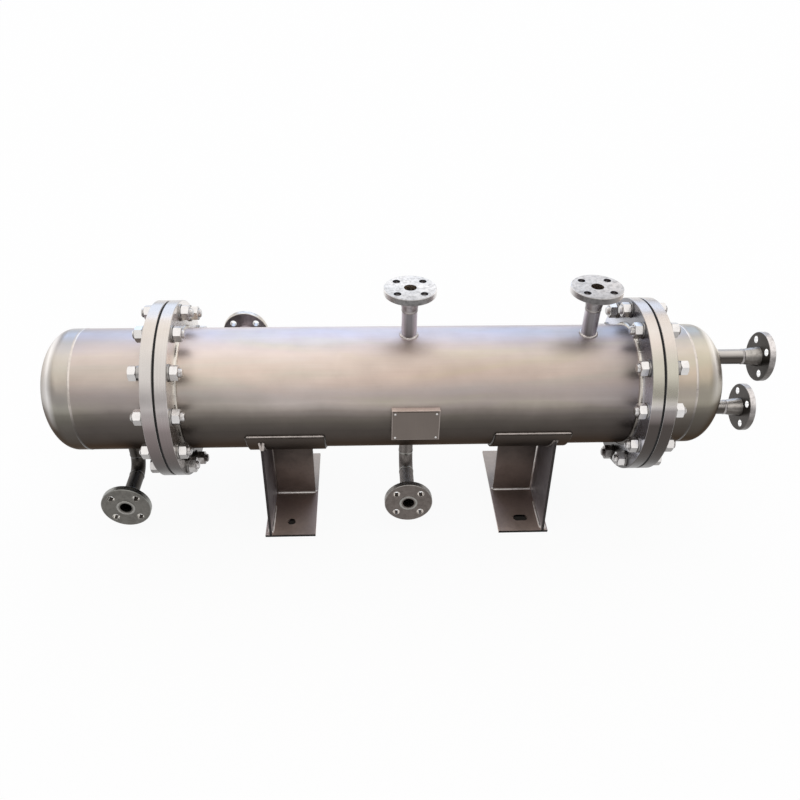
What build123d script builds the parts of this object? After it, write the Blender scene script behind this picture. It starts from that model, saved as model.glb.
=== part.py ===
from build123d import *
import math
import os

# A horizontal shell and tube exchanger, sizes in millimetres.
# X runs along the vessel to the end with the two axial nozzles, Y goes to the back, Z is up.
# The origin is on the floor under the middle of the fixed saddle.

# Vessel barrel
shell_od = 273.0
shell_wall = 6.0
axis_height = 331.0
joint_spacing = 1053.0
saddle_inset = 244.5

# Girth joints between tubesheets and channels
girth_od = 395.0
girth_pcd = 350.0
girth_hole = 22.0
girth_holes = 12
tubesheet_thickness = 25.0
channel_flange_thickness = 25.0
gasket_thickness = 4.5
gasket_setback = 2.5
flange_weld_setback = 7.0
rim_chamfer = 1.0

# Channels and dished ends
left_channel_end = 191.0
right_channel_end = 94.5
head_skirt = 25.0
head_ratio = 4.0

# Nozzles
pipe_od = 33.7
pipe_wall = 3.2
nozzle_flange_od = 112.0
nozzle_flange_thickness = 14.0
nozzle_pcd = 79.4
nozzle_hole = 16.0
nozzle_holes = 4
hub_large_od = 46.0
hub_length = 52.0
nozzle_reach = 250.0
back_nozzle_reach = 256.0
nozzle_from_joint = 128.5
drain_from_joint = 126.5
elbow_radius = 38.0
drain_drop = 229.0
drain_reach = 150.0
end_nozzle_offset = 71.5
end_nozzle_stub = 48.75

# Nameplate on its stand-off bracket
bracket_width = 104.0
bracket_height = 77.0
bracket_sheet = 3.0
bracket_gap = 6.0
bracket_shift = 10.5
bracket_drop = 4.0
nameplate_margin = 2.0
nameplate_thickness = 1.5

# Saddles
wear_plate_thickness = 6.0
wear_plate_length = 170.0
wear_plate_angle = 145.0
wear_plate_shift = 7.0
horn_angle = 26.0
base_width = 120.0
base_length = 306.0
base_thickness = 6.0
base_hole = 20.0
base_hole_spacing = 216.0
slot_length = 36.0
web_thickness = 6.0
web_setback = 10.0
rib_thickness = 6.0
rib_setback = 6.0

# Derived positions
shell_radius = shell_od / 2
shell_bore = shell_radius - shell_wall
pipe_radius = pipe_od / 2
pipe_bore = pipe_radius - pipe_wall
left_joint = -saddle_inset
right_joint = left_joint + joint_spacing
right_saddle = right_joint - saddle_inset
middle = (left_joint + right_joint) / 2
half_gasket = gasket_thickness / 2
sheet_offset = half_gasket + tubesheet_thickness
shell_length = joint_spacing - 2 * sheet_offset
head_depth = shell_od / head_ratio
saddle_radius = shell_radius + wear_plate_thickness
drain_height = axis_height - drain_drop
left_drain_x = left_joint - drain_from_joint
back_x = left_joint + nozzle_from_joint
top_right_x = right_joint - nozzle_from_joint
end_nozzle_reach = right_channel_end + head_skirt + head_depth + end_nozzle_stub + hub_length
end_face_x = right_joint + end_nozzle_reach


def across(x):
    """A plane square to the vessel axis, drawn with Y to the right and Z up."""
    return Plane(origin=(x, 0, axis_height), x_dir=(0, 1, 0), z_dir=(1, 0, 0))


def top_face(x):
    return Plane(origin=(x, 0, axis_height + nozzle_reach), x_dir=(1, 0, 0), z_dir=(0, 0, 1))


def back_face(x):
    return Plane(origin=(x, back_nozzle_reach, axis_height), x_dir=(1, 0, 0), z_dir=(0, 1, 0))


def drain_face(x):
    return Plane(origin=(x, -drain_reach, drain_height), x_dir=(1, 0, 0), z_dir=(0, -1, 0))


def under_face(x):
    return Plane(origin=(x, 0, axis_height - shell_radius), x_dir=(1, 0, 0), z_dir=(0, 0, -1))


def end_face(offset):
    return Plane(origin=(end_face_x, 0, axis_height + offset), x_dir=(0, 1, 0), z_dir=(1, 0, 0))


def cut_bore(face, depth):
    """Cuts a nozzle bore into the piece being built, from its face inward."""
    with BuildSketch(face) as opening:
        Circle(pipe_bore)
    extrude(opening.sketch, amount=-depth, mode=Mode.SUBTRACT)


def cut_round(x, length, radius):
    """Cuts a round body on the vessel axis, centred on x, out of the piece being built."""
    with BuildSketch(across(x - length / 2)) as body:
        Circle(radius)
    extrude(body.sketch, amount=length, mode=Mode.SUBTRACT)


def make_shell():
    with BuildPart() as made:
        with BuildSketch(across(left_joint + sheet_offset)):
            Circle(shell_radius)
            Circle(shell_bore, mode=Mode.SUBTRACT)
        extrude(amount=shell_length)
        cut_bore(top_face(middle), nozzle_reach)
        cut_bore(top_face(top_right_x), nozzle_reach)
        cut_bore(back_face(back_x), back_nozzle_reach)
        cut_bore(under_face(middle), shell_radius)
    return made


def girth_disc(x, thickness, radius, bore):
    """A round plate with the ring of girth bolt holes, from x along the vessel."""
    with BuildPart() as made:
        with BuildSketch(across(x)):
            Circle(radius)
            if bore:
                Circle(bore, mode=Mode.SUBTRACT)
            with PolarLocations(girth_pcd / 2, girth_holes, start_angle=180 / girth_holes):
                Circle(girth_hole / 2, mode=Mode.SUBTRACT)
        extrude(amount=thickness)
        if radius == girth_od / 2:
            rims = made.edges().filter_by(GeomType.CIRCLE)
            chamfer(rims.filter_by(lambda rim: rim.radius == radius), length=rim_chamfer)
    return made


def make_channel(joint, side, channel_end, drain_x):
    """A channel barrel, side -1 for the left end and 1 for the right end."""
    near = joint + side * (half_gasket + flange_weld_setback)
    far = joint + side * channel_end
    with BuildPart() as made:
        with BuildSketch(across(min(near, far))):
            Circle(shell_radius)
            Circle(shell_bore, mode=Mode.SUBTRACT)
        extrude(amount=abs(far - near))
        if drain_x is not None:
            cut_bore(under_face(drain_x), shell_radius)
    return made


def head_half(x, side, wall):
    """Half of the dished end's section, above the vessel axis, less its hollow if it has a wall."""
    plane = Plane(origin=(x, 0, axis_height), x_dir=(side, 0, 0), z_dir=(0, -side, 0))
    with BuildSketch(plane) as half:
        with Locations((head_skirt, 0)):
            Ellipse(head_depth, shell_radius)
            Rectangle(head_depth, shell_radius, align=(Align.MIN, Align.MIN), mode=Mode.INTERSECT)
        Rectangle(head_skirt, shell_radius, align=(Align.MIN, Align.MIN))
        if wall:
            with Locations((head_skirt, 0)):
                Ellipse(head_depth - wall, shell_radius - wall, mode=Mode.SUBTRACT)
            Rectangle(head_skirt, shell_radius - wall, align=(Align.MIN, Align.MIN),
                      mode=Mode.SUBTRACT)
    return half.sketch


def make_head(x, side, nozzle_offsets):
    with BuildPart() as made:
        revolve(head_half(x, side, shell_wall), axis=Axis((x, 0, axis_height), (1, 0, 0)))
        for offset in nozzle_offsets:
            cut_bore(end_face(offset), end_nozzle_reach - right_channel_end)
    return made


def weld_neck_flange(face):
    with BuildPart() as made:
        with BuildSketch(face.offset(-nozzle_flange_thickness)):
            Circle(hub_large_od / 2)
        with BuildSketch(face.offset(-hub_length)):
            Circle(pipe_radius)
        loft()
        with BuildSketch(face):
            Circle(nozzle_flange_od / 2)
        extrude(amount=-nozzle_flange_thickness)
        rims = made.edges().filter_by(GeomType.CIRCLE)
        chamfer(rims.filter_by(lambda rim: rim.radius == nozzle_flange_od / 2), length=rim_chamfer)
        cut_bore(face, hub_length)
        with BuildSketch(face):
            with PolarLocations(nozzle_pcd / 2, nozzle_holes, start_angle=180 / nozzle_holes):
                Circle(nozzle_hole / 2)
        extrude(amount=-nozzle_flange_thickness, mode=Mode.SUBTRACT)
    return made


def straight_pipe(face, x, reach):
    """A pipe from the flange hub to the round wall of the vessel."""
    with BuildPart() as made:
        with BuildSketch(face.offset(-hub_length)):
            Circle(pipe_radius)
            Circle(pipe_bore, mode=Mode.SUBTRACT)
        extrude(amount=hub_length - reach)
        cut_round(x, 2 * pipe_od, shell_radius)
    return made


def drain_pipe(x):
    """A pipe that drops from the vessel, turns in a bend and runs forward to its flange."""
    side_plane = Plane(origin=(x, 0, 0), x_dir=(0, 1, 0), z_dir=(1, 0, 0))
    with BuildPart() as made:
        with BuildLine(side_plane) as path:
            FilletPolyline((0, axis_height - shell_bore), (0, drain_height),
                           (hub_length - drain_reach, drain_height), radius=elbow_radius)
        with BuildSketch(Plane(origin=(x, 0, axis_height - shell_bore), z_dir=(0, 0, -1))):
            Circle(pipe_radius)
            Circle(pipe_bore, mode=Mode.SUBTRACT)
        sweep(path=path.wire())
        cut_round(x, 2 * pipe_od, shell_radius)
    return made


def end_pipe(offset):
    """A pipe along the vessel from the dished end to its flange hub."""
    head_start = right_joint + right_channel_end
    with BuildPart() as made:
        with BuildSketch(end_face(offset).offset(-hub_length)):
            Circle(pipe_radius)
            Circle(pipe_bore, mode=Mode.SUBTRACT)
        extrude(amount=hub_length - end_nozzle_reach + right_channel_end + head_skirt)
        revolve(head_half(head_start, 1, 0), axis=Axis((head_start, 0, axis_height), (1, 0, 0)),
                mode=Mode.SUBTRACT)
    return made


plate_x = middle + bracket_shift
plate_z = axis_height - bracket_drop
plate_back_y = -(shell_radius + bracket_gap)


def make_bracket():
    """A front sheet with its top and bottom turned back to the shell."""
    with BuildPart() as made:
        with BuildSketch(Plane(origin=(plate_x - bracket_width / 2, plate_back_y, plate_z),
                               x_dir=(0, 1, 0), z_dir=(1, 0, 0))):
            Rectangle(shell_radius, bracket_height, align=(Align.MIN, Align.CENTER))
            Rectangle(shell_radius, bracket_height - 2 * bracket_sheet,
                      align=(Align.MIN, Align.CENTER), mode=Mode.SUBTRACT)
            Rectangle(bracket_sheet, bracket_height, align=(Align.MAX, Align.CENTER))
        extrude(amount=bracket_width)
        cut_round(plate_x, 2 * bracket_width, shell_radius)
    return made


def make_nameplate():
    with BuildPart() as made:
        with BuildSketch(Plane(origin=(plate_x, plate_back_y - bracket_sheet, plate_z),
                               x_dir=(1, 0, 0), z_dir=(0, -1, 0))):
            Rectangle(bracket_width - 2 * nameplate_margin, bracket_height - 2 * nameplate_margin)
        extrude(amount=nameplate_thickness)
    return made


def make_wear_plate(x):
    start = 270 - wear_plate_angle / 2
    with BuildPart() as made:
        with BuildSketch(across(x - wear_plate_length / 2)):
            with BuildLine():
                outer = CenterArc((0, 0), saddle_radius, start, wear_plate_angle)
                inner = CenterArc((0, 0), shell_radius, start, wear_plate_angle)
                Line(outer @ 0, inner @ 0)
                Line(outer @ 1, inner @ 1)
            make_face()
        extrude(amount=wear_plate_length)
    return made


def make_web(x, side):
    """The upright plate across the vessel, on the outer side of its saddle."""
    outer_x = x + side * (base_width / 2 - web_setback)
    horn = math.radians(horn_angle)
    horn_y = saddle_radius * math.cos(horn)
    horn_z = -saddle_radius * math.sin(horn)
    foot_z = base_thickness - axis_height
    with BuildPart() as made:
        with BuildSketch(across(min(outer_x, outer_x - side * web_thickness))):
            with BuildLine():
                Polyline((-base_length / 2, foot_z), (base_length / 2, foot_z), (horn_y, horn_z),
                         (-horn_y, horn_z), close=True)
            make_face()
            Circle(saddle_radius, mode=Mode.SUBTRACT)
        extrude(amount=web_thickness)
    return made


def make_rib(x, side):
    """The middle plate along the vessel, from the web towards the inner edge of the base."""
    web_inner = x + side * (base_width / 2 - web_setback - web_thickness)
    free_edge = x - side * (base_width / 2 - rib_setback)
    height = axis_height - base_thickness - shell_radius
    with BuildPart() as made:
        with Locations(((web_inner + free_edge) / 2, 0, base_thickness)):
            Box(abs(web_inner - free_edge), rib_thickness, height,
                align=(Align.CENTER, Align.CENTER, Align.MIN))
        cut_round(x, 2 * base_width, saddle_radius)
    return made


def make_base(x, slotted):
    with BuildPart() as made:
        with Locations((x, 0, 0)):
            Box(base_width, base_length, base_thickness,
                align=(Align.CENTER, Align.CENTER, Align.MIN))
        with BuildSketch(Plane.XY.offset(base_thickness)):
            for y in (-base_hole_spacing / 2, base_hole_spacing / 2):
                with Locations((x, y)):
                    if slotted:
                        SlotOverall(slot_length, base_hole)
                    else:
                        Circle(base_hole / 2)
        extrude(amount=-base_thickness, mode=Mode.SUBTRACT)
    return made


os.makedirs("parts", exist_ok=True)

shell = make_shell()
shell.part.label = "shell"
export_step(shell.part, "parts/shell.step")

left_tubesheet = girth_disc(left_joint + half_gasket, tubesheet_thickness, girth_od / 2, 0)
left_tubesheet.part.label = "left_tubesheet"
export_step(left_tubesheet.part, "parts/left_tubesheet.step")

right_tubesheet = girth_disc(right_joint - sheet_offset, tubesheet_thickness, girth_od / 2, 0)
right_tubesheet.part.label = "right_tubesheet"
export_step(right_tubesheet.part, "parts/right_tubesheet.step")

gasket_radius = girth_od / 2 - gasket_setback

left_gasket = girth_disc(left_joint - half_gasket, gasket_thickness, gasket_radius, shell_radius)
left_gasket.part.label = "left_gasket"
export_step(left_gasket.part, "parts/left_gasket.step")

right_gasket = girth_disc(right_joint - half_gasket, gasket_thickness, gasket_radius, shell_radius)
right_gasket.part.label = "right_gasket"
export_step(right_gasket.part, "parts/right_gasket.step")

left_channel_flange = girth_disc(left_joint - half_gasket - channel_flange_thickness,
                                 channel_flange_thickness, girth_od / 2, shell_radius)
left_channel_flange.part.label = "left_channel_flange"
export_step(left_channel_flange.part, "parts/left_channel_flange.step")

right_channel_flange = girth_disc(right_joint + half_gasket, channel_flange_thickness,
                                  girth_od / 2, shell_radius)
right_channel_flange.part.label = "right_channel_flange"
export_step(right_channel_flange.part, "parts/right_channel_flange.step")

left_channel = make_channel(left_joint, -1, left_channel_end, left_drain_x)
left_channel.part.label = "left_channel"
export_step(left_channel.part, "parts/left_channel.step")

right_channel = make_channel(right_joint, 1, right_channel_end, None)
right_channel.part.label = "right_channel"
export_step(right_channel.part, "parts/right_channel.step")

left_head = make_head(left_joint - left_channel_end, -1, ())
left_head.part.label = "left_head"
export_step(left_head.part, "parts/left_head.step")

right_head = make_head(right_joint + right_channel_end, 1,
                       (end_nozzle_offset, -end_nozzle_offset))
right_head.part.label = "right_head"
export_step(right_head.part, "parts/right_head.step")

top_centre_pipe = straight_pipe(top_face(middle), middle, nozzle_reach)
top_centre_pipe.part.label = "top_centre_pipe"
export_step(top_centre_pipe.part, "parts/top_centre_pipe.step")

top_centre_flange = weld_neck_flange(top_face(middle))
top_centre_flange.part.label = "top_centre_flange"
export_step(top_centre_flange.part, "parts/top_centre_flange.step")

top_right_pipe = straight_pipe(top_face(top_right_x), top_right_x, nozzle_reach)
top_right_pipe.part.label = "top_right_pipe"
export_step(top_right_pipe.part, "parts/top_right_pipe.step")

top_right_flange = weld_neck_flange(top_face(top_right_x))
top_right_flange.part.label = "top_right_flange"
export_step(top_right_flange.part, "parts/top_right_flange.step")

back_pipe = straight_pipe(back_face(back_x), back_x, back_nozzle_reach)
back_pipe.part.label = "back_pipe"
export_step(back_pipe.part, "parts/back_pipe.step")

back_flange = weld_neck_flange(back_face(back_x))
back_flange.part.label = "back_flange"
export_step(back_flange.part, "parts/back_flange.step")

bottom_centre_pipe = drain_pipe(middle)
bottom_centre_pipe.part.label = "bottom_centre_pipe"
export_step(bottom_centre_pipe.part, "parts/bottom_centre_pipe.step")

bottom_centre_flange = weld_neck_flange(drain_face(middle))
bottom_centre_flange.part.label = "bottom_centre_flange"
export_step(bottom_centre_flange.part, "parts/bottom_centre_flange.step")

bottom_left_pipe = drain_pipe(left_drain_x)
bottom_left_pipe.part.label = "bottom_left_pipe"
export_step(bottom_left_pipe.part, "parts/bottom_left_pipe.step")

bottom_left_flange = weld_neck_flange(drain_face(left_drain_x))
bottom_left_flange.part.label = "bottom_left_flange"
export_step(bottom_left_flange.part, "parts/bottom_left_flange.step")

end_upper_pipe = end_pipe(end_nozzle_offset)
end_upper_pipe.part.label = "end_upper_pipe"
export_step(end_upper_pipe.part, "parts/end_upper_pipe.step")

end_upper_flange = weld_neck_flange(end_face(end_nozzle_offset))
end_upper_flange.part.label = "end_upper_flange"
export_step(end_upper_flange.part, "parts/end_upper_flange.step")

end_lower_pipe = end_pipe(-end_nozzle_offset)
end_lower_pipe.part.label = "end_lower_pipe"
export_step(end_lower_pipe.part, "parts/end_lower_pipe.step")

end_lower_flange = weld_neck_flange(end_face(-end_nozzle_offset))
end_lower_flange.part.label = "end_lower_flange"
export_step(end_lower_flange.part, "parts/end_lower_flange.step")

nameplate_bracket = make_bracket()
nameplate_bracket.part.label = "nameplate_bracket"
export_step(nameplate_bracket.part, "parts/nameplate_bracket.step")

nameplate = make_nameplate()
nameplate.part.label = "nameplate"
export_step(nameplate.part, "parts/nameplate.step")

left_wear_plate = make_wear_plate(wear_plate_shift)
left_wear_plate.part.label = "left_wear_plate"
export_step(left_wear_plate.part, "parts/left_wear_plate.step")

left_web = make_web(0, -1)
left_web.part.label = "left_web"
export_step(left_web.part, "parts/left_web.step")

left_rib = make_rib(0, -1)
left_rib.part.label = "left_rib"
export_step(left_rib.part, "parts/left_rib.step")

left_base = make_base(0, False)
left_base.part.label = "left_base"
export_step(left_base.part, "parts/left_base.step")

right_wear_plate = make_wear_plate(right_saddle - wear_plate_shift)
right_wear_plate.part.label = "right_wear_plate"
export_step(right_wear_plate.part, "parts/right_wear_plate.step")

right_web = make_web(right_saddle, 1)
right_web.part.label = "right_web"
export_step(right_web.part, "parts/right_web.step")

right_rib = make_rib(right_saddle, 1)
right_rib.part.label = "right_rib"
export_step(right_rib.part, "parts/right_rib.step")

right_base = make_base(right_saddle, True)
right_base.part.label = "right_base"
export_step(right_base.part, "parts/right_base.step")
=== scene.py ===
import math
import random
import bmesh
import bpy
from mathutils import Matrix, Vector


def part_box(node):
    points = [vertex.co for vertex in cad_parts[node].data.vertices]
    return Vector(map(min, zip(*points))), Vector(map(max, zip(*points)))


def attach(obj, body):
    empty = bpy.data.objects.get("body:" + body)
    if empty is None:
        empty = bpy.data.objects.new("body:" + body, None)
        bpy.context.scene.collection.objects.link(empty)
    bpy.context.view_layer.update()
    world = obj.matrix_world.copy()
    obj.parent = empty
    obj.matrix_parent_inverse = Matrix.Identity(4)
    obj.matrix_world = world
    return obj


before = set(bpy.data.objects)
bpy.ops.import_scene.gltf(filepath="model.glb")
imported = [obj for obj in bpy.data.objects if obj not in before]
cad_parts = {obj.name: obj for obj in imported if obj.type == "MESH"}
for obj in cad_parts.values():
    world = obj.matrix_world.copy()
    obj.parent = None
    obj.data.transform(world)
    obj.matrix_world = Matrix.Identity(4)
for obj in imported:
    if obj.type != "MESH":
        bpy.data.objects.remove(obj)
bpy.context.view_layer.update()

# Places read from the frame, in metres
shell_low, shell_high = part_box("shell")
axis_z = (shell_low.z + shell_high.z) / 2
shell_radius = (shell_high.z - shell_low.z) / 2
head_depth = shell_radius / 2
girth_bolt_radius = 0.175
girth_count = 12
girth_rim = 0.1975
nozzle_rim = 0.056
nozzle_bolt_radius = 0.0397
pipe_radius = 0.01685
hub_length = 0.052
hub_radius = 0.027
hub_start = 0.0146       # from a nozzle flange's face to its hub
bore_reach = 0.0083      # a nozzle bolt hole's radius and a little more
elbow_radius = 0.038


def low(node):
    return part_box(node)[0]


def high(node):
    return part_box(node)[1]


def mid(node):
    a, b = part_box(node)
    return (a + b) / 2


joint_x = {"left": mid("left_gasket").x, "right": mid("right_gasket").x}
flange_face = high("left_tubesheet").x - joint_x["left"]

# Painted shade on lower sides, darker towards the bottom: steps of (share of the height, amount), and
# its colour
vessel_painted_shade = ((0.0, 1.0), (0.412, 1.0), (0.49, 0.95), (0.548, 0.85), (0.602, 0.62), (0.632, 0.36),
               (0.65, 0.24), (0.672, 0.06), (0.70, 0.09), (0.75, 0.09), (0.86, 0.06), (0.95, 0.0))
channel_painted_shade = ((0.0, 1.0), (0.412, 1.0), (0.49, 0.97), (0.548, 0.92), (0.602, 0.80),
                (0.637, 0.52), (0.665, 0.36), (0.70, 0.28), (0.78, 0.26), (0.86, 0.16), (0.95, 0.02))
# On the rims the steps leave lighter bands, painted highlights between the painted shade
left_rim_painted_shade = ((0.0, 1.0), (0.28, 0.97), (0.43, 0.86), (0.567, 0.74), (0.66, 0.42), (0.69, 0.15),
                 (0.73, 0.30), (0.79, 0.37), (0.87, 0.33), (0.94, 0.24), (1.0, 0.16))
right_rim_painted_shade = ((0.0, 1.0), (0.28, 0.99), (0.43, 0.975), (0.567, 0.965), (0.65, 0.62), (0.675, 0.0),
                  (0.695, 0.0), (0.72, 0.36), (0.79, 0.43), (0.87, 0.37), (0.94, 0.18), (1.0, 0.14))
painted_shade_tint = (0.051, 0.044, 0.0395)
# Painted reflection colours by height, which multiply the colour under the painted shade: (share of
# the height, factor)
vessel_reflection_tints = ((0.0, (0.96, 1.02, 0.88)), (0.609, (0.97, 1.04, 0.90)), (0.677, (0.93, 1.00, 0.88)),
                (0.739, (0.95, 1.01, 0.90)), (0.80, (0.93, 0.94, 0.79)), (0.845, (0.94, 0.93, 0.76)),
                (0.887, (0.93, 0.94, 0.77)), (0.928, (0.96, 1.0, 0.84)), (0.961, (1.0, 1.06, 0.94)),
                (0.986, (0.92, 1.0, 0.95)), (0.993, (0.87, 0.96, 0.92)), (1.0, (0.86, 0.96, 0.96)))
left_rim_reflection_tints = ((0.0, (0.97, 0.85, 0.88)), (0.58, (0.97, 0.85, 0.88)), (0.68, (1.0, 0.97, 0.98)),
             (0.86, (1.0, 0.99, 0.98)), (0.95, (1.0, 0.965, 0.93)),
             (0.985, (0.97, 0.92, 0.86)), (1.0, (0.98, 0.90, 0.82)))
right_rim_reflection_tints = ((0.0, (1.0, 0.88, 0.90)), (0.58, (1.0, 0.88, 0.90)), (0.66, (1.0, 0.98, 0.99)),
                   (0.73, (1.0, 0.99, 0.86)),
                   (0.86, (1.0, 1.0, 0.88)), (0.93, (1.0, 0.93, 0.87)), (0.97, (1.0, 0.96, 0.92)),
                   (1.0, (0.95, 0.88, 0.82)))
# Painted shade on the tubesheet faces, on the right face also at its top
left_face_painted_shade = ((0.0, 1.0), (0.16, 0.97), (0.30, 0.62), (0.42, 0.15), (0.52, 0.0), (1.0, 0.0))
right_face_painted_shade = ((0.0, 1.0), (0.16, 0.97), (0.30, 0.62), (0.42, 0.15), (0.52, 0.0), (0.72, 0.0),
                   (0.84, 0.68), (1.0, 0.76))

# Procedural materials

def new_material(name):
    material = bpy.data.materials.new(name)
    material.use_nodes = True
    nodes = material.node_tree.nodes
    nodes.clear()
    output = nodes.new("ShaderNodeOutputMaterial")
    shader = nodes.new("ShaderNodeBsdfPrincipled")
    material.node_tree.links.new(shader.outputs[0], output.inputs[0])
    return material, shader


class Graph:
    """Short calls for adding nodes to one material."""

    def __init__(self, material):
        self.tree = material.node_tree

    def node(self, kind, **values):
        made = self.tree.nodes.new(kind)
        for key, value in values.items():
            setattr(made, key, value)
        return made

    def link(self, a, b):
        self.tree.links.new(a, b)

    def position(self):
        return self.node("ShaderNodeTexCoord").outputs["Object"]

    def normal(self):
        return self.node("ShaderNodeTexCoord").outputs["Normal"]

    def parts(self, vector):
        """The x, y and z of a vector."""
        made = self.node("ShaderNodeSeparateXYZ")
        self.link(vector, made.inputs[0])
        return made.outputs

    def mapped(self, scale, offset=(0, 0, 0)):
        mapping = self.node("ShaderNodeMapping")
        mapping.inputs["Scale"].default_value = scale
        mapping.inputs["Location"].default_value = offset
        self.link(self.position(), mapping.inputs["Vector"])
        return mapping.outputs["Vector"]

    def noise(self, vector, scale, detail=4.0, roughness=0.55, distortion=0.0):
        made = self.node("ShaderNodeTexNoise")
        made.inputs["Scale"].default_value = scale
        made.inputs["Detail"].default_value = detail
        made.inputs["Roughness"].default_value = roughness
        made.inputs["Distortion"].default_value = distortion
        self.link(vector, made.inputs["Vector"])
        return made.outputs["Fac"]

    def ramp(self, value, stops):
        made = self.node("ShaderNodeValToRGB")
        elements = made.color_ramp.elements
        while len(elements) < len(stops):
            elements.new(0.5)
        for element, (place, colour) in zip(elements, stops):
            element.position = place
            element.color = (*colour, 1) if len(colour) == 3 else colour
        self.link(value, made.inputs["Fac"])
        return made.outputs["Color"]

    def spread(self, value, low_in, high_in, low_out, high_out):
        made = self.node("ShaderNodeMapRange")
        made.inputs["From Min"].default_value = low_in
        made.inputs["From Max"].default_value = high_in
        made.inputs["To Min"].default_value = low_out
        made.inputs["To Max"].default_value = high_out
        self.link(value, made.inputs["Value"])
        return made.outputs["Result"]

    def math(self, operation, a, b):
        made = self.node("ShaderNodeMath", operation=operation)
        for socket, value in zip(made.inputs, (a, b)):
            if isinstance(value, (int, float)):
                socket.default_value = value
            else:
                self.link(value, socket)
        return made.outputs["Value"]

    def mix(self, factor, a, b, blend="MIX"):
        made = self.node("ShaderNodeMix", data_type="RGBA", blend_type=blend)
        for socket, value in zip((made.inputs[0], made.inputs[6], made.inputs[7]), (factor, a, b)):
            if isinstance(value, (int, float)):
                socket.default_value = value
            elif isinstance(value, tuple):
                socket.default_value = (*value, 1)
            else:
                self.link(value, socket)
        return made.outputs[2]

    def turned_to(self, degrees):
        """How far the surface faces the front, or the side some degrees from it."""
        made = self.node("ShaderNodeVectorMath", operation="DOT_PRODUCT")
        self.link(self.normal(), made.inputs[0])
        angle = math.radians(degrees)
        made.inputs[1].default_value = (math.sin(angle), -math.cos(angle), 0)
        return made.outputs["Value"]

    def bump(self, height, strength, distance, normal=None):
        made = self.node("ShaderNodeBump")
        made.inputs["Strength"].default_value = strength
        made.inputs["Distance"].default_value = distance
        self.link(height, made.inputs["Height"])
        if normal is not None:
            self.link(normal, made.inputs["Normal"])
        return made.outputs["Normal"]


def add_painted_shade(g, colour, steps, radius, strength, jitter=0.004, tints=None):
    """Paints shade: darkens a colour by height, over a round body of the given radius on the vessel
    axis.
    """
    ragged = g.noise(g.mapped((1, 1, 1), (4, 4, 2)), 5.0, 4.0, 0.6)
    height = g.parts(g.position())[2]
    level = g.math("ADD", height, g.spread(ragged, 0.3, 0.7, -jitter, jitter))
    level = g.spread(level, axis_z - radius, axis_z + radius, 0.0, 1.0)
    if tints:
        colour = g.mix(1.0, colour, g.ramp(level, tints), "MULTIPLY")
    amount = g.ramp(level, [(place, (strength * k,) * 3) for place, k in steps])
    return amount, g.mix(amount, colour, painted_shade_tint)


def add_shade(g, colour, start, end, strength, tint):
    """Darkens a colour where the surface faces down, from normal z = start to end."""
    facing_up = g.parts(g.normal())[2]
    return g.mix(g.spread(facing_up, end, start, strength, 0.0), colour, tint)


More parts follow.
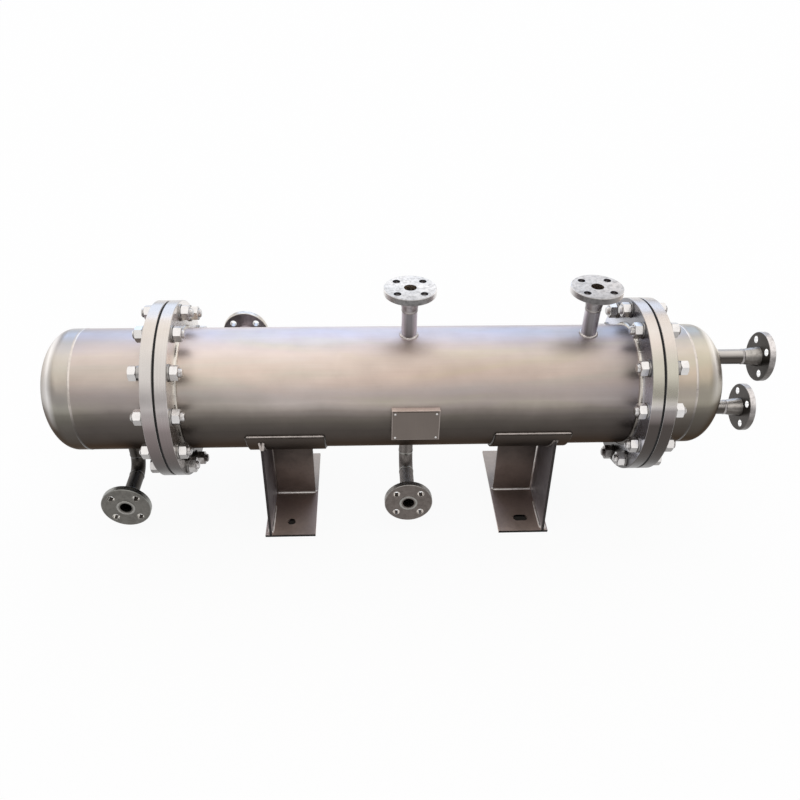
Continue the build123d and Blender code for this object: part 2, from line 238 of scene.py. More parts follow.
def brushed_steel(name, base, roughness, streak_scale, streak_strength=0.25, mottle=0.06,
                  stains=(), painted_shade=0.0, steps=(), hue=0.0, along=None, painted_crescent=None, shade=None,
                  painted_dark_reflection=None):
    """Satin steel: fine streaks, cloudy colour, smudges, and stains at the places given.

    film is how far painted shade darkens the vessel's lower side, by the given steps, with
    painted reflection tints by height. hue adds faint warm and cool bands. along is (x from,
    x to, stops) of a painted falloff of the light down the vessel. crescent is (normal x, reach,
    height from, height to, amount) of a painted highlight round a head. shade is painted shade
    for pipes, and core is (degrees, colour) of a painted dark reflection on one side.
    """
    material, shader = new_material(name)
    g = Graph(material)
    streaks = g.noise(g.mapped(streak_scale), 1.0, 3.0, 0.6)
    clouds = g.noise(g.mapped((1, 1, 1)), 6.0, 5.0, 0.6, 0.4)
    smudge = g.noise(g.mapped((1, 1, 1), (3, 1, 7)), 23.0, 4.0, 0.5)
    dark = tuple(c * (1 - 1.6 * mottle) for c in base)
    light = tuple(min(1, c * (1 + mottle)) for c in base)
    colour = g.ramp(clouds, [(0.32, dark), (0.68, light)])
    colour = g.mix(g.spread(streaks, 0.35, 0.65, 0.0, 0.25), colour, dark)
    # Painted falloff of the light along the vessel
    if along:
        start, end, stops = along
        share = g.spread(g.parts(g.position())[0], start, end, 0.0, 1.0)
        colour = g.mix(1.0, colour, g.ramp(share, stops), "MULTIPLY")
    if hue:
        bands = g.noise(g.mapped((1.6, 11, 11), (8, 3, 1)), 1.0, 4.0, 0.55, 0.5)
        tints = g.ramp(bands, [(0.30, (0.93, 0.98, 1.0)), (0.45, (1.0, 0.97, 1.0)),
                               (0.55, (1.0, 0.95, 0.96)), (0.70, (1.0, 0.99, 0.90))])
        colour = g.mix(hue, colour, tints, "MULTIPLY")
    # Painted dark reflection on the side turned that way
    if painted_dark_reflection:
        degrees, tint = painted_dark_reflection
        colour = g.mix(g.spread(g.turned_to(degrees), 0.72, 0.96, 0.0, 0.92), colour, tint)
    for place, reach, tint, amount in stains:
        distance = g.node("ShaderNodeVectorMath", operation="DISTANCE")
        g.link(g.position(), distance.inputs[0])
        distance.inputs[1].default_value = place
        ragged = g.math("ADD", distance.outputs["Value"], g.spread(smudge, 0.3, 0.7, -0.006, 0.006))
        colour = g.mix(g.spread(ragged, reach * 0.35, reach, amount, 0.0), colour, tint)
    if shade:
        colour = add_shade(g, colour, *shade)
    if painted_shade:
        amount, colour = add_painted_shade(g, colour, steps, shell_radius, painted_shade, tints=vessel_reflection_tints)
        # Painted highlight: a light crescent round a head
        if painted_crescent:
            facing, reach, from_z, to_z, strength = painted_crescent
            off = g.math("ABSOLUTE", g.math("SUBTRACT", g.parts(g.normal())[0], facing), 0)
            band = g.math("MULTIPLY", g.spread(off, 0.0, reach, strength, 0.0),
                          g.spread(g.parts(g.position())[2], from_z, to_z, 0.0, 1.0))
            colour = g.mix(band, colour, (0.95, 0.93, 0.92))
        # The painted shade also darkens the specular tint
        edge = g.mix(amount, (1.0, 1.0, 1.0), (0.36, 0.31, 0.28))
        g.link(edge, shader.inputs["Specular Tint"])
    g.link(colour, shader.inputs["Base Color"])
    shader.inputs["Metallic"].default_value = 1.0
    rough = g.math("ADD", g.spread(smudge, 0.3, 0.7, roughness - 0.05, roughness + 0.05),
                   g.spread(streaks, 0.3, 0.7, -0.03, 0.03))
    g.link(rough, shader.inputs["Roughness"])
    normal = g.bump(streaks, streak_strength, 0.00015)
    normal = g.bump(g.noise(g.mapped((1, 1, 1)), 14.0, 2.0, 0.5), 0.25, 0.0009, normal)
    g.link(normal, shader.inputs["Normal"])
    return material


def turned_steel(name, zones, roughness, centre, axis, ring_pitch=0.0016, mottle=0.05,
                 blotch=0.0, painted_shade=None, tints=None, face_painted_shade=None, shade=None, hub=None,
                 painted_bore_walls=None, ends=None):
    """Lathe-turned steel: rings round a centre line on faces, and lines round the rim.

    zones lists (radius, colour) from the centre outward, each colour up to its radius. hub is
    (sign, plane, colour) for what lies behind a flange's plate, and bores is (distance from
    the centre line on both axes, radius, colour) of painted light and shade on the walls of its
    four bolt holes. ends is (degrees, colour) of a painted highlight on a rim where it turns
    away from that side, and it also dims the flange's front half as painted shade. film paints
    shade by height on the rim, with lighter bands as painted highlights and tints as painted
    reflection colours, and face_painted_shade paints shade by height on the face.
    """
    material, shader = new_material(name)
    g = Graph(material)
    shifted = g.node("ShaderNodeVectorMath", operation="SUBTRACT")
    g.link(g.position(), shifted.inputs[0])
    shifted.inputs[1].default_value = centre
    from_centre = g.parts(shifted.outputs[0])
    along = from_centre["XYZ".index(axis)]
    a, b = [from_centre[i] for i in range(3) if i != "XYZ".index(axis)]
    radius = g.math("SQRT", g.math("ADD", g.math("MULTIPLY", a, a), g.math("MULTIPLY", b, b)), 0)
    line = g.node("ShaderNodeCombineXYZ")
    g.link(g.math("ADD", radius, along), line.inputs[0])
    rings = g.noise(line.outputs[0], 1 / ring_pitch, 3.0, 0.7)
    clouds = g.noise(g.mapped((1, 1, 1), (5, 2, 1)), 16.0, 5.0, 0.6, 0.3)
    grain = g.noise(g.mapped((1, 1, 1), (7, 2, 4)), 110.0, 4.0, 0.65)
    colour = zones[0][1]
    for (limit, _), (_, beyond) in zip(zones, zones[1:]):
        colour = g.mix(g.spread(radius, limit - 0.0006, limit + 0.0006, 0.0, 1.0), colour, beyond)
    if hub:
        sign, plane, tint = hub
        behind = g.math("LESS_THAN", g.math("MULTIPLY", along, sign), plane)
        behind = g.math("MULTIPLY", behind, g.math("LESS_THAN", radius, hub_radius))
        colour = g.mix(behind, colour, tint)
    dim = g.ramp(clouds, [(0.3, (1 - 2.2 * mottle,) * 3), (0.7, (1, 1, 1))])
    colour = g.mix(1.0, colour, dim, "MULTIPLY")
    colour = g.mix(g.spread(rings, 0.35, 0.65, 0.0, 0.30), colour,
                   g.mix(1.0, colour, (0.72, 0.70, 0.68), "MULTIPLY"))
    if blotch:
        colour = g.mix(g.spread(grain, 0.44, 0.64, 0.0, blotch), colour,
                       g.mix(1.0, colour, (0.36, 0.35, 0.34), "MULTIPLY"))
    # Painted highlight on the rim where it turns away, and painted shade on the front half
    if ends:
        degrees, tint = ends
        turned = g.spread(g.turned_to(degrees), 0.32, 0.90, 1.0, 0.0)
        on_rim = g.math("GREATER_THAN", radius, zones[-1][0] - 0.0010)
        colour = g.mix(g.math("MULTIPLY", turned, on_rim), colour, tint)
        dim = g.spread(b, -zones[-1][0], 0.0, 0.0, 1.0)
        dim = g.ramp(dim, ((0.0, (0.72,) * 3), (1.0, (1, 1, 1))))
        colour = g.mix(1.0, colour, dim, "MULTIPLY")
    if shade:
        colour = add_shade(g, colour, *shade)
    if painted_shade:
        rim = add_painted_shade(g, colour, painted_shade, zones[-1][0], 1.0, 0.0015, tints)[1]
        face = add_painted_shade(g, colour, face_painted_shade, zones[-1][0], 1.0, 0.0040)[1]
        colour = g.mix(g.spread(radius, zones[-2][0], zones[-2][0] + 0.0008, 0.0, 1.0), face, rim)
    rough = g.math("ADD", g.spread(clouds, 0.3, 0.7, roughness - 0.05, roughness + 0.06),
                   g.spread(rings, 0.3, 0.7, -0.04, 0.04))
    # Painted light and shade on the bolt-hole walls
    if painted_bore_walls:
        place, reach, tint = painted_bore_walls
        du, dv = [g.math("SUBTRACT", g.math("ABSOLUTE", c, 0), place) for c in (a, b)]
        near = g.math("ADD", g.math("MULTIPLY", du, du), g.math("MULTIPLY", dv, dv))
        wall = g.math("LESS_THAN", g.math("SQRT", near, 0), reach)
        colour = g.mix(wall, colour, tint)
        rough = g.math("MULTIPLY", rough, g.spread(wall, 0.0, 1.0, 1.0, 0.5))
    g.link(colour, shader.inputs["Base Color"])
    shader.inputs["Metallic"].default_value = 1.0
    g.link(rough, shader.inputs["Roughness"])
    normal = g.bump(rings, 0.35, 0.0002)
    if blotch:
        normal = g.bump(grain, 0.3, 0.0003, normal)
    g.link(normal, shader.inputs["Normal"])
    return material


def grainy(name, base, roughness, metallic, scale, mottle, bump_strength, bump_distance,
           painted_shade=0.0, shade=None, front=None, fade=None):
    """A plain grainy surface: cloudy colour and fine grain.

    film and shade paint shade on lower sides, front is a colour of painted shade for faces
    turned to the front, and fade is (axis, from, to, stops) for a painted change of light and
    shade along an axis.
    """
    material, shader = new_material(name)
    g = Graph(material)
    clouds = g.noise(g.mapped((1, 1, 1), (2, 5, 3)), scale, 6.0, 0.6, 0.2)
    grain = g.noise(g.mapped((1, 1, 1), (9, 4, 6)), scale * 9, 3.0, 0.6)
    dark = tuple(c * (1 - 2 * mottle) for c in base)
    light = tuple(min(1, c * (1 + mottle)) for c in base)
    colour = g.ramp(clouds, [(0.3, dark), (0.7, light)])
    colour = g.mix(g.spread(grain, 0.45, 0.70, 0.0, 0.35), colour, tuple(c * 0.7 for c in base))
    # A painted change of light and shade along an axis
    if fade:
        axis, start, end, stops = fade
        place = g.math("ADD", g.parts(g.position())["XYZ".index(axis)],
                       g.spread(clouds, 0.3, 0.7, -0.02, 0.02))
        colour = g.mix(1.0, colour, g.ramp(g.spread(place, start, end, 0.0, 1.0), stops),
                       "MULTIPLY")
    # Painted shade on faces turned to the front
    if front:
        facing_back = g.parts(g.normal())[1]
        colour = g.mix(g.spread(facing_back, -0.6, -0.9, 0.0, 1.0), colour, front)
    if shade:
        colour = add_shade(g, colour, *shade)
    if painted_shade:
        colour = add_painted_shade(g, colour, vessel_painted_shade, shell_radius, painted_shade)[1]
    g.link(colour, shader.inputs["Base Color"])
    shader.inputs["Metallic"].default_value = metallic
    g.link(g.spread(clouds, 0.3, 0.7, roughness - 0.07, roughness + 0.07),
           shader.inputs["Roughness"])
    g.link(g.bump(grain, bump_strength, bump_distance), shader.inputs["Normal"])
    return material


# Building meshes

def add_object(name, bm, materials, sharp=32.0):
    """Turns a bmesh into a finished piece with smooth rounds and sharp corners."""
    bmesh.ops.remove_doubles(bm, verts=bm.verts, dist=2e-6)
    bmesh.ops.dissolve_degenerate(bm, edges=bm.edges, dist=1e-7)
    bmesh.ops.recalc_face_normals(bm, faces=bm.faces)
    limit = math.radians(sharp)
    for face in bm.faces:
        face.smooth = True
    for edge in bm.edges:
        edge.smooth = edge.is_manifold and edge.calc_face_angle(0) < limit
    mesh = bpy.data.meshes.new(name)
    bm.to_mesh(mesh)
    bm.free()
    for material in materials:
        mesh.materials.append(material)
    made = bpy.data.objects.new(name, mesh)
    bpy.context.scene.collection.objects.link(made)
    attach(made, "root")


def add_rings(bm, rings, material=0, caps=True, closed=False):
    """Skins a list of rings of points, each ring a closed loop. caps fills the end rings."""
    made = [[bm.verts.new(p) for p in ring] for ring in rings]
    pairs = list(zip(made, made[1:]))
    if closed:
        pairs.append((made[-1], made[0]))
    for a, b in pairs:
        for i in range(len(a)):
            j = (i + 1) % len(a)
            face = bm.faces.new((a[i], a[j], b[j], b[i]))
            face.material_index = material
    if caps and not closed:
        for ring in (made[0], made[-1]):
            face = bm.faces.new(ring)
            face.material_index = material


def circle(centre, u, v, radius, count):
    return [centre + u * (radius * math.cos(2 * math.pi * i / count))
            + v * (radius * math.sin(2 * math.pi * i / count)) for i in range(count)]


def square_to(direction):
    """Two unit vectors square to a direction."""
    direction = direction.normalized()
    other = Vector((0, 0, 1)) if abs(direction.z) < 0.9 else Vector((0, 1, 0))
    u = direction.cross(other).normalized()
    return u, direction.cross(u).normalized()


def revolve(bm, centre, axis, profile, count, material=0, closed_profile=False):
    """Turns a profile of (distance along the axis, radius) round the axis."""
    u, v = square_to(axis)
    axis = axis.normalized()
    rings = [circle(centre + axis * along, u, v, radius, count) for along, radius in profile]
    add_rings(bm, rings, material, closed=closed_profile)


# Weld beads

def resample(points, step, closed):
    """Points at even steps along a path."""
    loop = list(points) + ([points[0]] if closed else [])
    lengths = [0.0]
    for a, b in zip(loop, loop[1:]):
        lengths.append(lengths[-1] + (b - a).length)
    total = lengths[-1]
    count = max(4, round(total / step))
    made, k = [], 0
    for i in range(count if closed else count + 1):
        want = total * i / count
        while k < len(lengths) - 2 and lengths[k + 1] < want:
            k += 1
        part = (want - lengths[k]) / max(1e-9, lengths[k + 1] - lengths[k])
        made.append(loop[k].lerp(loop[k + 1], min(1, part)))
    return made, total


def add_bead(bm, rng, points, outward, half_width, height, closed=True, step=0.0016,
             ripple=0.0042, material=0):
    """A weld bead with the ripples of its passes. outward gives the surface normal at a point."""
    path, total = resample(points, step, closed)
    count = len(path)
    sides = 10
    rings = []
    phase = rng.random() * 6.28
    drift = [rng.uniform(-1, 1) for _ in range(max(3, int(total / 0.018)))]
    for i, point in enumerate(path):
        before = path[i - 1] if closed or i else path[i]
        after = path[(i + 1) % count] if closed or i < count - 1 else path[i]
        along = (after - before).normalized()
        normal = outward(point)
        normal = (normal - along * normal.dot(along)).normalized()
        side = along.cross(normal).normalized()
        place = total * i / count
        wave = abs(math.sin(math.pi * place / ripple + phase))
        k = place / total * len(drift)
        slow = drift[int(k) % len(drift)] * (1 - k % 1) + drift[(int(k) + 1) % len(drift)] * (k % 1)
        w = half_width * (1 + 0.05 * wave + 0.07 * slow)
        h = height * (0.82 + 0.20 * wave + 0.08 * slow)
        if not closed:
            ends = min(i, count - 1 - i) * step / (half_width * 1.2)
            fade = math.sqrt(max(0.0, 1 - (1 - min(1, ends + 0.15)) ** 2))
            w, h = w * fade, h * fade
        ring = []
        for j in range(sides):
            angle = 2 * math.pi * j / sides
            ring.append(point + side * (w * math.cos(angle)) + normal * (h * math.sin(angle)))
        rings.append(ring)
    add_rings(bm, rings, material, closed=closed)


def ring_points(x, radius, count=180):
    return [Vector((x, -radius * math.cos(2 * math.pi * i / count),
                    axis_z + radius * math.sin(2 * math.pi * i / count))) for i in range(count)]


def radial(point):
    out = Vector((0, point.y, point.z - axis_z))
    return out.normalized()


def branch_points(x, direction, body_radius, radius, count=48):
    """The line where a pipe along direction meets the round vessel."""
    e = Vector((1, 0, 0)).cross(direction)
    made = []
    for i in range(count):
        t = 2 * math.pi * i / count
        rise = math.sqrt(body_radius ** 2 - (radius * math.sin(t)) ** 2)
        made.append(Vector((x, 0, axis_z)) + Vector((radius * math.cos(t), 0, 0))
                    + e * (radius * math.sin(t)) + direction * rise)
    return made


UP, DOWN, FRONT, BACK = Vector((0, 0, 1)), Vector((0, 0, -1)), Vector((0, -1, 0)), Vector((0, 1, 0))
LEFT, RIGHT = Vector((-1, 0, 0)), Vector((1, 0, 0))

weld_rng = random.Random(11)

# Materials of the carried-over nodes and of the new pieces

# Marks on the shell as (place, reach, colour, amount): heat tints round two necks, and two
# darker patches on the left end's front
tint_brown = (0.36, 0.30, 0.25)
tint_dark_patch = (0.31, 0.275, 0.26)
shell_stains = [
    ((mid("top_right_pipe").x, 0.0, high("shell").z), 0.046, tint_brown, 0.15),
    ((mid("back_pipe").x, high("shell").y, axis_z), 0.045, tint_brown, 0.4),
    ((joint_x["left"] + 0.080, low("shell").y, axis_z + 0.030), 0.085, tint_dark_patch, 0.42),
    ((joint_x["left"] + 0.170, low("shell").y, axis_z + 0.030), 0.080, tint_dark_patch, 0.30),
]
vessel_base = (0.605, 0.515, 0.545)
shell_base = (0.74, 0.63, 0.665)
# The dark colour of painted shade on pipes and end flanges
deep = (0.05, 0.042, 0.036)
# The shell: painted shade on its lower side, painted reflection tints by height, and a painted
# falloff of the light towards its right end
steel_vessel = brushed_steel("vessel_satin", shell_base, 0.46, (6, 420, 420), 0.22, 0.05,
                             shell_stains, painted_shade=0.95, steps=vessel_painted_shade, hue=1.0,
                             along=(joint_x["left"], joint_x["right"],
                                    ((0.0, (1.0, 1.0, 0.98)), (0.25, (0.96, 0.96, 0.94)),
                                     (0.50, (0.84, 0.84, 0.83)), (0.82, (0.78, 0.78, 0.77)),
                                     (0.96, (0.66, 0.67, 0.69)))))
# The channels: painted shade on their lower sides and painted reflection tints by height
steel_channel = brushed_steel("left_channel_satin", vessel_base, 0.38, (6, 420, 420), 0.22, 0.05,
                              painted_shade=0.94, steps=channel_painted_shade, hue=0.8)
right_channel_steel = brushed_steel("right_channel_satin", (0.605, 0.525, 0.51), 0.40,
                                    (6, 420, 420), 0.22, 0.05, painted_shade=0.94, steps=vessel_painted_shade,
                                    hue=0.8)
# The heads: painted shade on their lower sides, painted reflection tints, and a painted highlight
# crescent on one side of each
steel_heads = {
    "left": brushed_steel("left_head_satin", (0.59, 0.53, 0.55), 0.36, (260, 60, 60), 0.2, 0.05,
                          painted_shade=0.91, steps=channel_painted_shade, hue=0.6,
                          painted_crescent=(-0.58, 0.30, axis_z - 0.02, axis_z + 0.06, 0.68)),
    "right": brushed_steel("right_head_satin", (0.60, 0.53, 0.50), 0.36, (260, 60, 60), 0.2, 0.05,
                           painted_shade=0.93, steps=channel_painted_shade, hue=0.6,
                           painted_crescent=(0.52, 0.34, axis_z + 0.03, axis_z + 0.10, 0.6))}
# The sides that the necks and rims of the top nozzles turn to the front, in degrees: the necks
# get a painted dark reflection on that side, and the flange rims painted highlights where they
# turn away from it
neck_turn = {"top_centre": -4, "top_right": -19}
steel_necks = {
    name: brushed_steel(name + "_satin", (0.68, 0.65, 0.70), 0.36, (90, 90, 500), 0.25, 0.12,
                        painted_dark_reflection=(degrees, (0.155, 0.143, 0.148)))
    for name, degrees in neck_turn.items()}
# The drain pipes are darkened as painted shade under the vessel, the left one most
steel_drain = brushed_steel("drain_satin", (0.27, 0.245, 0.23), 0.60, (90, 90, 500), 0.3, 0.16)
dark_drain = brushed_steel("left_drain_satin", (0.070, 0.062, 0.055), 0.45, (90, 90, 500), 0.3,
                           0.2)
steel_end_pipe = brushed_steel("end_pipe_satin", (0.58, 0.55, 0.52), 0.34, (500, 90, 90), 0.25,
                               0.10, shade=(0.93, 0.36, 0.95, deep))
# Girth flanges and tubesheets: painted shade by height, lighter rim bands as painted highlights, and
# painted reflection tints
steel_rims = {
    "left": turned_steel("left_girth_turned", [(girth_rim - 0.0013, (0.98, 0.94, 0.91)),
                                               (girth_rim, (0.85, 0.82, 0.80))],
                         0.27, (0, 0, axis_z), "X", 0.0022, 0.05, painted_shade=left_rim_painted_shade,
                         tints=left_rim_reflection_tints, face_painted_shade=left_face_painted_shade),
    "right": turned_steel("right_girth_turned", [(girth_rim - 0.0013, (0.82, 0.84, 0.95)),
                                                 (girth_rim, (0.85, 0.82, 0.80))],
                          0.27, (0, 0, axis_z), "X", 0.0022, 0.05, painted_shade=right_rim_painted_shade,
                          tints=right_rim_reflection_tints, face_painted_shade=right_face_painted_shade)}
# Painted shade on the nuts and washers below the axis, darkest at the bottom
low_painted_shade = ("Z", axis_z - 0.20, axis_z - 0.13,
            ((0.0, (0.22, 0.20, 0.19)), (0.4, (0.30, 0.28, 0.27)), (1.0, (1.0, 1.0, 1.0))))
steel_fastener = grainy("fastener_bright", (0.76, 0.74, 0.73), 0.28, 1.0, 60.0, 0.06, 0.25,
                        0.0001, shade=(0.15, -0.55, 0.84, (0.08, 0.07, 0.065)), fade=low_painted_shade)
# Washers darkened as painted shade in the crevices round the nuts
shaded_washer = grainy("washer_painted_shade", (0.40, 0.385, 0.37), 0.34, 1.0, 60.0, 0.10, 0.25, 0.0001,
                      shade=(0.35, -0.4, 0.82, (0.07, 0.06, 0.055)), fade=low_painted_shade)


def weld_steel(name, base, roughness, mottle=0.12, painted_shade=0.0):
    return grainy(name, base, roughness, 1.0, 70.0, mottle, 0.5, 0.0002, painted_shade=painted_shade)


# The vessel welds carry painted shade on their lower sides
steel_weld = weld_steel("weld_bead", (0.78, 0.73, 0.66), 0.30, 0.10, 0.90)
seam_weld = weld_steel("seam_weld", (0.68, 0.62, 0.57), 0.32, 0.10, 0.97)
root_weld = grainy("root_weld", (0.66, 0.61, 0.59), 0.34, 1.0, 95.0, 0.26, 0.5, 0.0003)
steel_neck_weld = weld_steel("neck_weld", (0.40, 0.375, 0.365), 0.36)
# Drain welds darkened as painted shade, like their drains
steel_drain_weld = weld_steel("drain_weld", (0.33, 0.32, 0.30), 0.34)
dark_drain_weld = weld_steel("dark_drain_weld", (0.11, 0.105, 0.10), 0.36)
# Saddle welds: a lit copy and a shaded copy as painted light and painted shade, and the wear plates'
# arc welds painted dark as shade
steel_saddle_weld = weld_steel("saddle_weld", (0.70, 0.67, 0.65), 0.34, 0.16)
shaded_saddle_weld = weld_steel("shaded_saddle_weld", (0.17, 0.15, 0.14), 0.42)
wear_weld = weld_steel("wear_weld", (0.50, 0.45, 0.42), 0.36, 0.16)
plate_weld = weld_steel("plate_weld", (0.075, 0.065, 0.06), 0.42, painted_shade=0.85)
# Saddle plates: the rib's dark colour and the darkening towards the vessel are painted shade, faces
# turned to the front are painted nearly black as shade, and the base is painted lighter at its front
# edge and rear as lit
saddle_rib = grainy("saddle_rib", (0.20, 0.163, 0.146), 0.45, 0.9, 14.0, 0.10, 0.35, 0.0003,
                    fade=("Z", 0.08, 0.19, ((0.0, (1.0, 1.0, 1.0)), (0.5, (0.46, 0.46, 0.46)),
                                            (1.0, (0.21, 0.20, 0.20)))))
saddle_web = grainy("saddle_web", (0.80, 0.78, 0.82), 0.44, 0.9, 14.0, 0.10, 0.35, 0.0003,
                    front=(0.035, 0.03, 0.03),
                    fade=("Z", 0.0, 0.13, ((0.0, (1.0, 1.0, 1.0)), (0.42, (0.42, 0.40, 0.40)),
                                           (1.0, (0.20, 0.18, 0.18)))))
saddle_base = grainy("saddle_base", (0.68, 0.545, 0.48), 0.48, 0.9, 14.0, 0.12, 0.35, 0.0003,
                     front=(0.012, 0.01, 0.01),
                     fade=("Y", -0.14, 0.14,
                           ((0.0, (1.0, 1.0, 1.0)), (0.32, (0.50, 0.48, 0.50)),
                            (0.48, (0.36, 0.36, 0.37)), (0.56, (0.35, 0.38, 0.38)),
                            (0.75, (0.50, 0.53, 0.52)), (1.0, (0.56, 0.59, 0.57)))))
black_gasket = grainy("gasket_sheet", (0.006, 0.006, 0.006), 0.8, 0.0, 40.0, 0.2, 0.4, 0.0002)
plate_metal = brushed_steel("nameplate_satin", (0.165, 0.140, 0.125), 0.36, (900, 10, 10), 0.2,
                            0.05)
# The bracket's faces turned to the front are painted darker as shade
bracket_metal = grainy("bracket_satin", (0.80, 0.70, 0.67), 0.36, 1.0, 30.0, 0.06, 0.3, 0.0002,
                       front=(0.30, 0.26, 0.24))

nozzle_axis = {"top_centre": "Z", "top_right": "Z", "back": "Y", "bottom_centre": "Y",
               "bottom_left": "Y", "end_upper": "X", "end_lower": "X"}
# Colours of the nozzle flanges: hub, face, rim and the walls of the bolt holes. Each flange
# has its own set, painted for the light and shade where it sits, and the pale bolt-hole walls
# are painted reflection.
flange_painted_tones = {
    "top_centre": ((0.50, 0.47, 0.49), (0.88, 0.77, 0.65), (0.33, 0.32, 0.32), (0.20, 0.19, 0.19)),
    "top_right": ((0.44, 0.42, 0.43), (0.74, 0.64, 0.54), (0.27, 0.26, 0.26), (0.20, 0.19, 0.19)),
    "back": ((0.85, 0.79, 0.81), (0.50, 0.455, 0.49), (0.85, 0.79, 0.72), (0.50, 0.48, 0.48)),
    "bottom_centre": ((0.26, 0.235, 0.22), (0.175, 0.152, 0.140), (0.42, 0.40, 0.38),
                      (0.60, 0.56, 0.52)),
    "bottom_left": ((0.10, 0.09, 0.08), (0.180, 0.172, 0.158), (0.34, 0.34, 0.32),
                    (0.60, 0.58, 0.54)),
    "end": ((0.56, 0.53, 0.50), (0.155, 0.147, 0.147), (0.86, 0.82, 0.81), (1.0, 1.0, 1.0))}


def flange_painted_material(node):
    """The material of one nozzle flange, its colours painted for the light and shade where it sits.
    The two end flanges share theirs.
    """
    name = node[:-len("_flange")]
    group = name.split("_")[0]
    hub, face, rim, bore = flange_painted_tones.get(name) or flange_painted_tones[group]
    axis = nozzle_axis[name]
    side = "XYZ".index(axis)
    half = (high(node)[side] - low(node)[side]) / 2
    sign = -1 if group == "bottom" else 1
    hole_place = nozzle_bolt_radius * math.sqrt(0.5)
    zones = [(nozzle_rim - 0.0012, face), (nozzle_rim, rim)]
    return turned_steel(node + "_turned", zones, 0.34, mid(node), axis, 0.0011, 0.10,
                        blotch={"top": 0.55, "end": 0.5}.get(group, 0.35),
                        shade=(0.75, 0.0, 0.85, deep) if group == "end" else None,
                        ends=(neck_turn[name], (0.9, 0.87, 0.86)) if name in neck_turn else None,
                        hub=(sign, half - hub_start, hub), painted_bore_walls=(hole_place, bore_reach, bore))


# The back neck can't be told from the photo and shares the top_centre one's finish
finish_of_node = {
    "left_head": steel_heads["left"], "right_head": steel_heads["right"],
    "left_channel": steel_channel, "right_channel": right_channel_steel,
    "top_centre_pipe": steel_necks["top_centre"], "top_right_pipe": steel_necks["top_right"],
    "back_pipe": steel_necks["top_centre"], "bottom_centre_pipe": steel_drain,
    "bottom_left_pipe": dark_drain, "end_upper_pipe": steel_end_pipe,
    "end_lower_pipe": steel_end_pipe, "nameplate": plate_metal,
    "nameplate_bracket": bracket_metal}
finish_of_kind = {"gasket": black_gasket, "rib": saddle_rib, "web": saddle_web,
                  "base": saddle_base}
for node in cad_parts:
    words = node.split("_")
    if node in finish_of_node:
        finish = finish_of_node[node]
    elif words[-1] in finish_of_kind:
        finish = finish_of_kind[words[-1]]
    elif words[-1] == "tubesheet" or node.endswith("channel_flange"):
        finish = steel_rims[words[0]]
    elif words[-1] == "flange":
        finish = flange_painted_material(node)
    else:
        finish = steel_vessel
    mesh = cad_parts[node].data
    mesh.materials.clear()
    mesh.materials.append(finish)


# Girth bolts: studs with a flat washer and a nut on each side, and a lock washer under some nuts

nut_width = 0.030
nut_height = 0.0172
stud_radius = 0.010
thread_depth = 0.0013
thread_pitch = 0.0025
flat_washer = (0.0185, 0.0036)
lock_washer = (0.0158, 0.0055)


def add_nut(bm, base, axis, turn, material):
    """A hexagon nut with its corners chamfered at both ends and a countersunk bore."""
    u, v = square_to(axis)
    count = 48
    flat = nut_width / 2
    round_radius = flat * 0.97
    slope = math.tan(math.radians(30))

    def outline(i):
        angle = 2 * math.pi * i / count
        return angle, flat / math.cos((angle + math.pi / 6) % (math.pi / 3) - math.pi / 6)

    def ring(place):
        made = []
        for i in range(count):
            angle, hexagon = outline(i)
            radius, along = place(hexagon)
            made.append(base + axis * along + u * (radius * math.cos(angle + turn))
                        + v * (radius * math.sin(angle + turn)))
        return made

    rings = [
        ring(lambda h: (stud_radius * 0.98, nut_height - 0.0012)),
        ring(lambda h: (stud_radius * 1.12, nut_height)),
        ring(lambda h: (min(h, round_radius), nut_height)),
        ring(lambda h: (h, nut_height - max(0.0, h - round_radius) * slope)),
        ring(lambda h: (h, max(0.0, h - round_radius) * slope)),
        ring(lambda h: (min(h, round_radius), 0.0))]
    add_rings(bm, rings, material, caps=False)


def add_flat_washer(bm, base, axis, material):
    radius, thickness = flat_washer
    bore, edge = 0.0105, 0.0004
    profile = [(0, bore), (0, radius - edge), (edge, radius), (thickness - edge, radius),
               (thickness, radius - edge), (thickness, bore)]
    revolve(bm, base, axis, profile, 48, material, closed_profile=True)


def add_lock_washer(bm, base, axis, turn, material):
    """A split ring, its two ends a little apart along the axis."""
    u, v = square_to(axis)
    radius, thickness = lock_washer
    bore, edge, count = 0.0106, 0.0006, 40
    rings = []
    for i in range(count + 1):
        angle = turn + 0.10 + (2 * math.pi - 0.20) * i / count
        out = u * math.cos(angle) + v * math.sin(angle)
        lift = 0.0006 * (i / count - 0.5)
        section = [(bore, 0.0003), (radius - edge, 0.0003), (radius, 0.0003 + edge),
                   (radius, thickness - 0.0003 - edge), (radius - edge, thickness - 0.0003),
                   (bore, thickness - 0.0003)]
        rings.append([base + out * r + axis * (a + lift) for r, a in section])
    add_rings(bm, rings, material)


